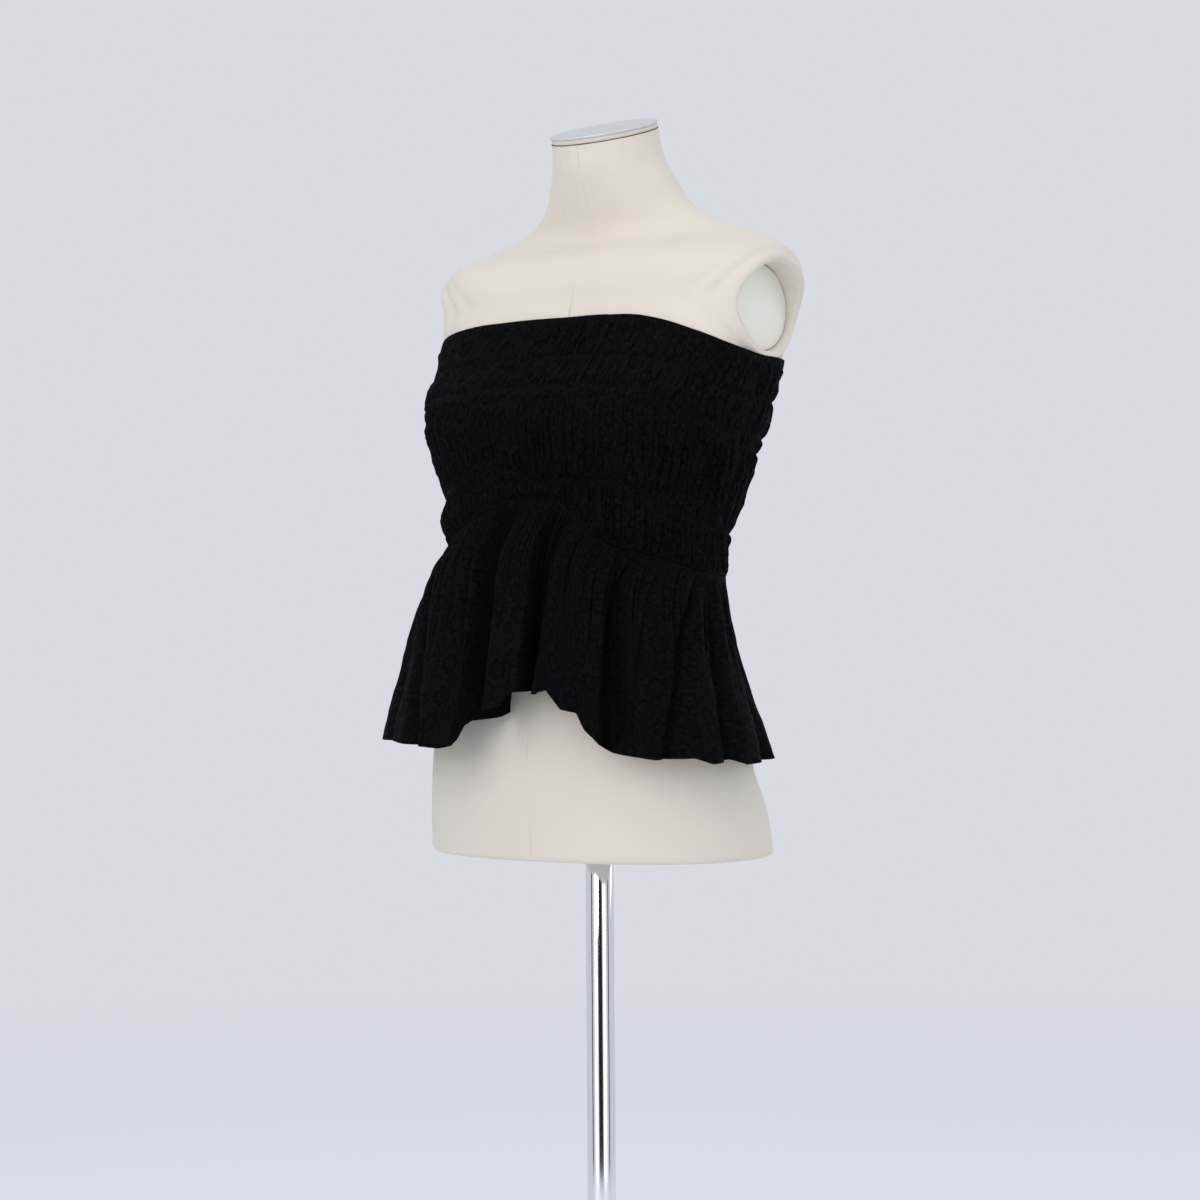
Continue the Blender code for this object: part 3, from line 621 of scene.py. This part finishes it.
def gathers(across, share, pitch, deep, seed):
    # tight valleys between rounded ridges: long ones over the whole band and short ones from either elastic
    dice = np.random.default_rng(seed)
    left, right = across.min() - 20, across.max() + 20
    count = int((right - left) / pitch)
    fall = np.zeros(across.shape)
    for kind, longest in (("whole", 1.0), ("upper", 0.5), ("lower", 0.5)):
        wander = dice.uniform(-gatherDice["place"], gatherDice["place"], count)
        middles = left + (np.arange(count) + 0.5 + wander) * pitch
        depths = deep * dice.uniform(*gatherDice["depth"], count)
        widths = dice.uniform(*gatherDice["width"], count)
        lengths = longest * dice.uniform(*gatherDice["length"], count)
        dice.uniform(size=count)  # drawn and not used, so that the draws below stay as they are
        bends = dice.uniform(-gatherDice["bend"], gatherDice["bend"], count)
        starts = np.zeros(count)
        if kind == "whole":
            starts = dice.uniform(0, 1, count) * (1 - lengths)
            starts = np.where(dice.uniform(0, 1, count) < gatherDice["fromTop"], 0, starts)
            lengths = np.where(dice.uniform(0, 1, count) < gatherDice["wholeLength"], 1.0, lengths)
            lengths = np.minimum(lengths, 1.0 - starts)
        else:
            depths = depths * gatherDice["shortDepth"]
            widths = widths * gatherDice["shortWidth"]
        for k in range(count):
            down = 1 - share if kind == "lower" else share
            end = starts[k] + lengths[k]
            inside = smoothStep(down, starts[k] - 0.1, starts[k] + 0.1)
            inside = inside * (1 - smoothStep(down, end - 0.18, end + 0.06))
            line = middles[k] + bends[k] * np.sin(3.5 * share + k)
            near = np.abs(across - line) / widths[k]
            fall = np.maximum(fall, depths[k] * inside * np.exp(-near ** 1.5))
    return fall


def bodicePanel(name, node, start, finish, seed):
    angle = np.linspace(start, finish, bodice["columns"])
    across = np.radians(angle) * girthRadius
    slantHere = bump(fromFront(angle - 18), 0, 70) + 0.3 * softNoise(angle / 25, 0 * angle, seed)
    levels, outs, downs, stitchRows = [], [], [], []
    toSide = np.minimum(angle - start, finish - angle) * np.pi / 180 * girthRadius
    for number, row in enumerate(elastics):
        high = elasticHeight(row, angle)
        if number + 1 < len(elastics):
            low = elasticHeight(elastics[number + 1], angle)
        else:
            low = seamHeight(angle)
        share = (np.arange(row["rows"]) / row["rows"])[:, None] + 0 * angle  # 0 at the elastic above
        height = high + (low - high) * share
        depth = high - height  # millimetres below the elastic above
        left = high - low - depth  # millimetres left to the one below
        flow = across + 0 * share
        swelling = bodice["swell"] * softNoise(flow / 33, height / 50, seed + 3) * smoothStep(depth, 0, 12)
        swelling = 1 + swelling * smoothStep(toSide, 1, 20)
        puff = row["puff"] * np.sin(np.pi * share) ** 0.7 * swelling
        if number + 1 == len(elastics):
            puff = puff * lowestPuff(angle)
        slanted = flow - (slantHere * row["slant"]) * (0.5 - share)
        fall = gathers(slanted, share, row["pitch"], row["deep"], seed * 10 + number)
        rough = bodice["fineLumps"] * softNoise(flow / 3.3, height / 6.0, seed + 11)
        rough = rough + bodice["lumps"] * softNoise(flow / 12, height / 13, seed)
        proud = 1.3 + rough - fall  # how far the surface stands off the puffed wall
        proud = proud - bodice["drawIn"] * (1 - smoothStep(depth, 0, 6)) * (number > 0)
        proud = proud - bodice["drawIn"] * (1 - smoothStep(left, 0, 6))
        if number == 0:
            # the turned edge lies flatter, down to its line of stitches
            loose = smoothStep(depth, bodice["hem"] - 3, bodice["hem"] + 4)
            proud = 0.5 + (proud - 0.5) * (0.12 + 0.88 * loose) - 0.8 * bump(depth, bodice["hem"], 1.1)
        else:
            proud = proud - bodice["groove"] * bump(depth, 0, bodice["grooveWidth"])
            stitchRows.append(len(levels))
        if number + 1 < len(elastics):
            proud = proud - bodice["groove"] * bump(left, 0, bodice["grooveWidth"])
        # both panels meet level at the side seams
        proud = 0.4 + (proud - 0.4) * smoothStep(toSide, 0, 4)
        out = wall + puff + np.maximum(proud, -1.0 - 0.5 * puff)
        if number + 1 == len(elastics):
            out = out + (bodice["edgeOut"] - out) * (1 - smoothStep(left, 0, 5))
        levels += list(height)
        outs += list(out)
        downs += list(topHeight(angle) - height)
    stitchRows.insert(0, int(bodice["hem"] / elastics[1]["front"] * elastics[0]["rows"]))
    # the lower edge turns in just above the peplum
    low = seamHeight(angle)
    for rise, out in ((-0.2, 0.0), (0.1, -0.5), (1.2, -0.7)):
        levels.append(low + rise)
        outs.append(bodice["edgeOut"] + out + 0 * angle)
        downs.append(topHeight(angle) - low + abs(rise))
    # the top edge turns over to the inside
    turnedOver = ((0.35, 1.0), (0.45, 0.6), (-0.4, 0.25), (-3, 0.2), (-bodice["hem"], 0.2))
    for rise, out in turnedOver:
        levels.insert(0, topHeight(angle) + rise)
        outs.insert(0, out + 0 * angle)
        downs.insert(0, rise - 0.4 + 0 * angle)
    height = np.array(levels)
    out = np.array(outs)
    out = out - 0.7 * bump(toSide, 0, 1.6) * (out > 1.2)  # a shallow groove along the side seams
    centre = along(formSections, 3, height)
    points = placed(np.broadcast_to(angle, height.shape), clothRadius(angle, height) + out, centre, height)
    piece = addGrid(bodice["columns"], len(points))
    wrapGrid(piece, points, across * bodice["patternStretch"], np.array(downs))
    seamLines = [points[row + len(turnedOver)] for row in stitchRows]
    return finishPiece(piece, name, bodiceKnit, [node]), seamLines


bodiceFront, frontLines = bodicePanel("bodiceFront", "bodice_front", -90, 90, 2)
bodiceBack, backLines = bodicePanel("bodiceBack", "bodice_back", 90, 270, 7)
print("bodice made")

# the gathered peplum

# height, half width, half depth, how far back the middle lies, how far it lies towards the form's right
peplumFlare = [(905, 211, 160, -44, 1), (946, 201, 150, -45, 2), (1006, 181, 136, -44, 3),
               (1066, 169.5, 125, -44, 3), (1126, 162, 118, -38, 6.5), (1170, 156, 110, -24, 4)]
# for each valley: its angle at the hem, how many degrees further round it lies at the seam, its depth, its
# half width in degrees at the hem and at the seam, and the steepness of its walls
mainFolds = [
    (-169, -3, 14, 6.0, 3.7, 2.2), (-151, -4, 19, 5.5, 3.4, 2.6), (-133, -6, 13, 5.0, 3.1, 2.2),
    (-114, -8, 20, 6.0, 3.7, 2.8), (-95, -9, 15, 4.6, 2.9, 2.2), (-76, -9, 20, 6.0, 3.7, 2.6),
    (-56, -12, 11, 3.6, 2.4, 2.0), (-36.5, -20, 15, 2.6, 2.2, 2.2), (-22, 0, 8, 7.0, 7.0, 2.0),
    (-10.8, -1.5, 58, 6.6, 7.6, 4.4), (15, 7, 36, 2.8, 5.5, 3.4), (47.8, 3.5, 28, 4.9, 2.8, 3.6),
    (62.5, 18, 15, 2.6, 2.2, 2.2), (81, 8, 16, 3.0, 2.2, 2.2), (100, 8, 18, 5.0, 3.1, 2.6),
    (118, 7, 13, 5.0, 3.1, 2.2), (136, 6, 19, 5.5, 3.4, 2.8), (154, 4, 13, 4.6, 2.9, 2.2),
    (173, 2, 18, 6.0, 3.7, 2.6),
]
# small creases from the seam down: angle at the seam, angle at the hem, where they end (1 is the hem),
# half width, depth
creases = [
    (53, 41.5, 1.0, 1.2, 5), (64, 51.5, 1.0, 1.2, 5), (40, 33, 0.6, 1.1, 4), (47, 44, 0.4, 1.0, 3.5),
    (59, 55, 0.45, 1.1, 4), (72, 66, 0.6, 1.2, 4), (85, 76, 0.7, 1.2, 5), (33, 27, 0.5, 1.0, 3.5),
    (11, 8, 0.4, 1.0, 3.5), (4, 2, 0.65, 1.0, 3.5), (-3, -3, 0.4, 1.0, 3), (-26, -20, 0.8, 1.2, 5),
    (-32, -28, 0.6, 1.1, 4), (-41, -33, 0.7, 1.2, 4), (-50, -44, 0.5, 1.1, 3.5), (-62, -50, 0.8, 1.3, 5),
    (-72, -66, 0.4, 1.2, 4), (-88, -85, 0.7, 1.2, 5), (-103, -105, 0.5, 1.2, 4),
    (-120, -123, 0.85, 1.4, 5), (-139, -141, 0.5, 1.2, 4), (-160, -161, 0.75, 1.3, 5),
    (-177, -178, 0.5, 1.2, 4), (97, 90, 0.6, 1.2, 4), (112, 108, 0.9, 1.4, 5), (127, 126, 0.55, 1.2, 4),
    (145, 146, 0.8, 1.3, 5), (163, 164, 0.5, 1.2, 4),
]
peplum = {
    "columns": 401, "rows": 117, "seamShare": 0.45, "opening": 7, "gatherPitch": 6.5, "gatherDeep": 5.2,
    "gatherEnd": 0.6, "gatherSeed": 77, "pinch": 0.55, "pinchWidth": 1.5, "pinchDepth": 17, "backRoom": 10,
    "tuck": 3.5, "tuckOut": 1.0, "gap": 0.3, "offForm": 2.9, "lumps": 1.6, "fineLumps": 0.5,
    "patternRow": 60, "patternStart": 200, "stitchRow": 6,
}


def foldAt(angle, down):
    # how deep the folds are here, and how many degrees their walls are pinched round
    deep = np.zeros(angle.shape)
    pinch = np.zeros(angle.shape)
    for valley, lean, depth, hemHalf, seamHalf, steep in mainFolds:
        half = seamHalf + (hemHalf - seamHalf) * down
        for round360 in (-360, 0, 360):
            off = (angle - valley - lean * (1 - down) - round360) / half
            here = depth * np.exp(-np.abs(off) ** steep)
            deep = np.maximum(deep, here)
            fade = np.exp(-(off / peplum["pinchWidth"]) ** 2)
            pinch = pinch - np.sign(off) * np.minimum(np.abs(off), 1) * fade * depth / peplum["pinchDepth"]
    return deep, pinch


def creaseAt(angle, down):
    deep = np.zeros(angle.shape)
    for top, hem, end, half, depth in creases:
        middle = top + (hem - top) * down
        lasts = 1 - float(smoothStep(np.array(down), end - 0.35, end + 0.05))
        here = depth * lasts * np.exp(-np.abs((angle - middle) / (half * (0.8 + 0.8 * down))) ** 1.6)
        deep = np.maximum(deep, here)
    return deep


angle = np.linspace(-180, 180, 2 * peplum["columns"] - 1)
across = np.radians(angle) * girthRadius
seam = seamHeight(angle) - peplum["gap"]
seamRadius = clothRadius(angle, seam) + peplum["tuckOut"]
seamCentre = along(formSections, 3, seam)
hem = np.interp(angle, *zip(*hemTable))
shares = np.linspace(0, 1, peplum["rows"]) ** 1.15  # rows lie a little closer near the seam
acrossAll = np.broadcast_to(across, (len(shares), len(angle)))
gatherShare = np.minimum(shares / peplum["gatherEnd"], 1)[:, None] + 0 * angle
pleats = gathers(acrossAll, gatherShare, peplum["gatherPitch"], peplum["gatherDeep"], peplum["gatherSeed"])
# the top edge is tucked up behind the bodice's edge
tucked = seam + peplum["tuck"]
tuckedRadius = clothRadius(angle, tucked) + peplum["tuckOut"]
rows = [placed(angle, tuckedRadius, along(formSections, 3, tucked), tucked)]
for number, down in enumerate(shares):
    height = seam + (hem - seam) * down
    width = along(peplumFlare, 1, height)
    depth = along(peplumFlare, 2, height)
    opened = 1 - (1 - down) ** peplum["opening"]  # how far the cloth has opened out from the seam
    fold, pinch = foldAt(angle, down)
    folded = fold * (peplum["seamShare"] + (1 - peplum["seamShare"]) * down ** 0.55)
    fading = max(0.0, 1 - down / peplum["gatherEnd"]) ** 0.8
    gather = pleats[number] * fading
    radius = ovalRadius(angle, width, depth, 2.0) - folded - creaseAt(angle, down) * min(1, 0.35 + 4 * down)
    radius = radius - gather + peplum["lumps"] * softNoise(angle / 6, height / 38, 6) * down ** 0.5
    radius = radius + peplum["backRoom"] * down * smoothStep(fromFront(angle), 125, 160)
    radius = radius + peplum["fineLumps"] * softNoise(angle / 1.6, height / 9, 16)
    warped = angle + pinch * peplum["pinch"] * down ** 0.5
    flared = placed(warped, radius, along(peplumFlare, 3, height), height)
    flared[:, 0] -= along(peplumFlare, 4, height)
    gathered = placed(angle, seamRadius + min(1, 12 * down) * (1.0 - gather * 0.6), seamCentre, height)
    points = gathered + (flared - gathered) * opened
    # keeps clear of the form underneath
    centre = along(formSections, 3, height)
    reach = np.hypot(points[:, 0], points[:, 1] - centre)
    turnTo = np.degrees(np.arctan2(points[:, 0], centre - points[:, 1]))
    least = formRadius(turnTo, height) + peplum["offForm"]
    grow = np.maximum(1, least / reach)
    points[:, 0] *= grow
    points[:, 1] = centre + (points[:, 1] - centre) * grow
    rows.append(points)
tubePoints = np.array(rows)
tubePoints[:, -1] = tubePoints[:, 0]


def peplumPanel(name, node, columns):
    points = tubePoints[:, columns]
    piece = addGrid(points.shape[1], points.shape[0])
    flow = np.linalg.norm(np.diff(points, axis=0), axis=-1)
    downs = np.concatenate([np.zeros((1, flow.shape[1])), np.cumsum(flow, axis=0)])
    run = np.linalg.norm(np.diff(points[peplum["patternRow"]], axis=0), axis=-1)
    acrossHere = np.concatenate([[0], np.cumsum(run)])
    wrapGrid(piece, points, acrossHere, downs + peplum["patternStart"])
    applyModifier(piece, "SOLIDIFY", {"thickness": wall * mm, "offset": 0.0, "use_rim": True})
    return finishPiece(piece, name, peplumKnit, [node], smoothAngle=60)


quarter = (peplum["columns"] - 1) // 2
last = 2 * peplum["columns"] - 2
peplumFront = peplumPanel("peplumFront", "peplum_front", np.arange(quarter, 3 * quarter + 1))
backColumns = np.concatenate([np.arange(3 * quarter, last + 1), np.arange(1, quarter + 1)])
peplumBack = peplumPanel("peplumBack", "peplum_back", backColumns)
print("peplum made")

# sewing, in thread of the cloth's colour: it lies on the cloth and dips in at each stitch's end
stitch = {"length": 3.2, "points": 4, "threadRadius": 0.24, "sides": 5, "out": 0.08, "dip": -0.45,
          "middleBack": 8}


def stitchTube(path, outward):
    # a thread along a path of points, which goes into the cloth once in each stitch
    run = np.concatenate([[0], np.cumsum(np.linalg.norm(np.diff(path, axis=0), axis=-1))])
    spots = np.arange(0, run[-1], stitch["length"] / stitch["points"])
    line = np.stack([np.interp(spots, run, path[:, i]) for i in range(3)], axis=-1)
    out = np.stack([np.interp(spots, run, outward[:, i]) for i in range(3)], axis=-1)
    out /= np.linalg.norm(out, axis=-1, keepdims=True)
    ahead = np.gradient(line, axis=0)
    ahead /= np.linalg.norm(ahead, axis=-1, keepdims=True)
    aside = np.cross(ahead, out)
    isDip = np.arange(len(spots)) % stitch["points"] == 0
    line = line + out * np.where(isDip, stitch["dip"], stitch["out"])[:, None]
    spin = np.linspace(0, 2 * np.pi, stitch["sides"], endpoint=False)[None, :, None]
    around = np.cos(spin) * out[:, None] + np.sin(spin) * aside[:, None]
    return line[:, None] + stitch["threadRadius"] * around


def stitchPiece(name, tubes):
    # each tube is a grid wrapped round, and all of them are joined into one piece
    parts = []
    for tube in tubes:
        closed = np.concatenate([tube, tube[:, :1]], axis=1)
        part = addGrid(closed.shape[1], closed.shape[0])
        wrapGrid(part, closed, 0.0, 0.0)
        cleanUp(part)
        parts.append(part)
    deselectAll()
    for part in parts:
        part.select_set(True)
    bpy.context.view_layer.objects.active = parts[0]
    bpy.ops.object.join()
    finishPiece(parts[0], name, sewingThread)


tubes = []
for line in frontLines + backLines:
    middle = np.stack([0 * line[:, 0], stitch["middleBack"] + 0 * line[:, 0], line[:, 2]], axis=-1)
    tubes.append(stitchTube(line, line - middle))
stitchPiece("elasticStitches", tubes)
hemRow = len(tubePoints) - peplum["stitchRow"]
facing = np.cross(np.gradient(tubePoints, axis=1)[hemRow], np.gradient(tubePoints, axis=0)[hemRow])
facing /= np.linalg.norm(facing, axis=-1, keepdims=True)
if np.sum(facing[:, :2] * tubePoints[hemRow, :, :2]) < 0:
    facing = -facing
stitchPiece("hemStitches", [stitchTube(tubePoints[hemRow] + facing * wall / 2, facing)])
print("sewing made")

# floor, light and what the chrome reflects

# sizes of the stage and the lights are in metres
stage = {"floorRadius": 5.5, "floorDrop": 0.0005, "fadeFrom": 2.2, "fadeTo": 5.2, "backdropRadius": 11,
         "backdrop": "#d8dbe2", "floor": "#e9ebf0", "floorGlow": 0.14, "ambient": 0.85}

world = bpy.data.worlds.new("paleRoom")
bpy.context.scene.world = world
world.use_nodes = True
world.node_tree.nodes["Background"].inputs["Color"].default_value = toLinear(stage["backdrop"])
world.node_tree.nodes["Background"].inputs["Strength"].default_value = stage["ambient"]

# a pale seamless backdrop, far off all round
deselectAll()
bpy.ops.mesh.primitive_uv_sphere_add(segments=48, ring_count=24, radius=stage["backdropRadius"])
backdrop = bpy.context.object
backdrop.name = "backdrop"
# paper lit evenly from outside the room, so it glows and takes no light of its own
paperSky = newMaterial("backdropSeamlessPaper", {"Base Color": (0, 0, 0, 1), "Specular IOR Level": 0.0,
                                                 "Emission Color": toLinear(stage["backdrop"]),
                                                 "Emission Strength": 1.0})[0]
backdrop.data.materials.append(paperSky)
backdrop.visible_diffuse = False
backdrop.visible_shadow = False

deselectAll()
bpy.ops.mesh.primitive_circle_add(vertices=96, radius=stage["floorRadius"], fill_type="NGON")
floor = bpy.context.object
floor.name = "floor"
floor.location = (0, 0, -stage["floorDrop"])
# matt paper that fades into the backdrop towards its edge
paper, tree, shader = newMaterial("floorMattPaper", {"Roughness": 0.9,
                                                     "Base Color": toLinear(stage["floor"])})
coords = addNode(tree, "ShaderNodeTexCoord").outputs["Object"]
away = addNode(tree, "ShaderNodeVectorMath", {"operation": "LENGTH"}, links={0: coords})
fade = addNode(tree, "ShaderNodeMapRange", {"interpolation_type": "SMOOTHSTEP"},
               {"From Min": stage["fadeFrom"], "From Max": stage["fadeTo"], "To Min": 1.0, "To Max": 0.0},
               {"Value": away.outputs["Value"]})
tree.links.new(fade.outputs[0], shader.inputs["Alpha"])
shader.inputs["Emission Color"].default_value = toLinear(stage["backdrop"])
shader.inputs["Emission Strength"].default_value = stage["floorGlow"]
floor.data.materials.append(paper)


def softLight(name, size, power, azimuth, height, distance, aim):
    light = bpy.data.lights.new(name, "AREA")
    light.shape = "RECTANGLE"
    light.size, light.size_y = size
    light.energy = power
    lamp = bpy.data.objects.new(name, light)
    bpy.context.scene.collection.objects.link(lamp)
    around = np.radians(azimuth)
    lamp.location = (distance * np.sin(around), -distance * np.cos(around), height)
    toward = lamp.location - Vector((0, 0, aim))
    lamp.rotation_mode = "QUATERNION"
    lamp.rotation_quaternion = toward.to_track_quat("Z", "Y")
    lamp.visible_camera = False


# name, size, watts, degrees round the body, height, distance, height that it is aimed at
softLight("keyLight", (1.8, 2.0), 29, 8, 2.2, 2.9, 1.15)
softLight("overheadLight", (2.4, 2.4), 14, 33, 3.2, 0.8, 0.5)
softLight("stripLeft", (1.5, 2.7), 9, -2, 1.35, 3.1, 1.35)
softLight("stripRight", (1.5, 2.7), 9, 68, 1.35, 3.1, 1.35)
softLight("rimLight", (1.2, 1.8), 12, 140, 1.9, 2.8, 1.2)

# matt black painted card, which only the chrome reflects
cardBlack = newMaterial("cardMattBlack", {"Roughness": 0.95, "Base Color": toLinear("#0a0a0c")})[0]
cardSizes = {"distance": 3.3, "height": 1.4, "tall": 2.9}


def darkCard(name, azimuth, width):
    deselectAll()
    around = np.radians(azimuth)
    far = cardSizes["distance"]
    spot = (far * np.sin(around), -far * np.cos(around), cardSizes["height"])
    bpy.ops.mesh.primitive_plane_add(size=1, location=spot, rotation=(np.pi / 2, 0, around))
    card = bpy.context.object
    card.name = name
    card.scale = (width, cardSizes["tall"], 1)
    card.data.materials.append(cardBlack)
    card.visible_camera = False
    card.visible_diffuse = False
    card.visible_shadow = False
    card.visible_transmission = False


darkCard("cardBehindCamera", 33, 1.9)
darkCard("cardLeft", -36, 0.5)
darkCard("cardRight", 102, 0.5)
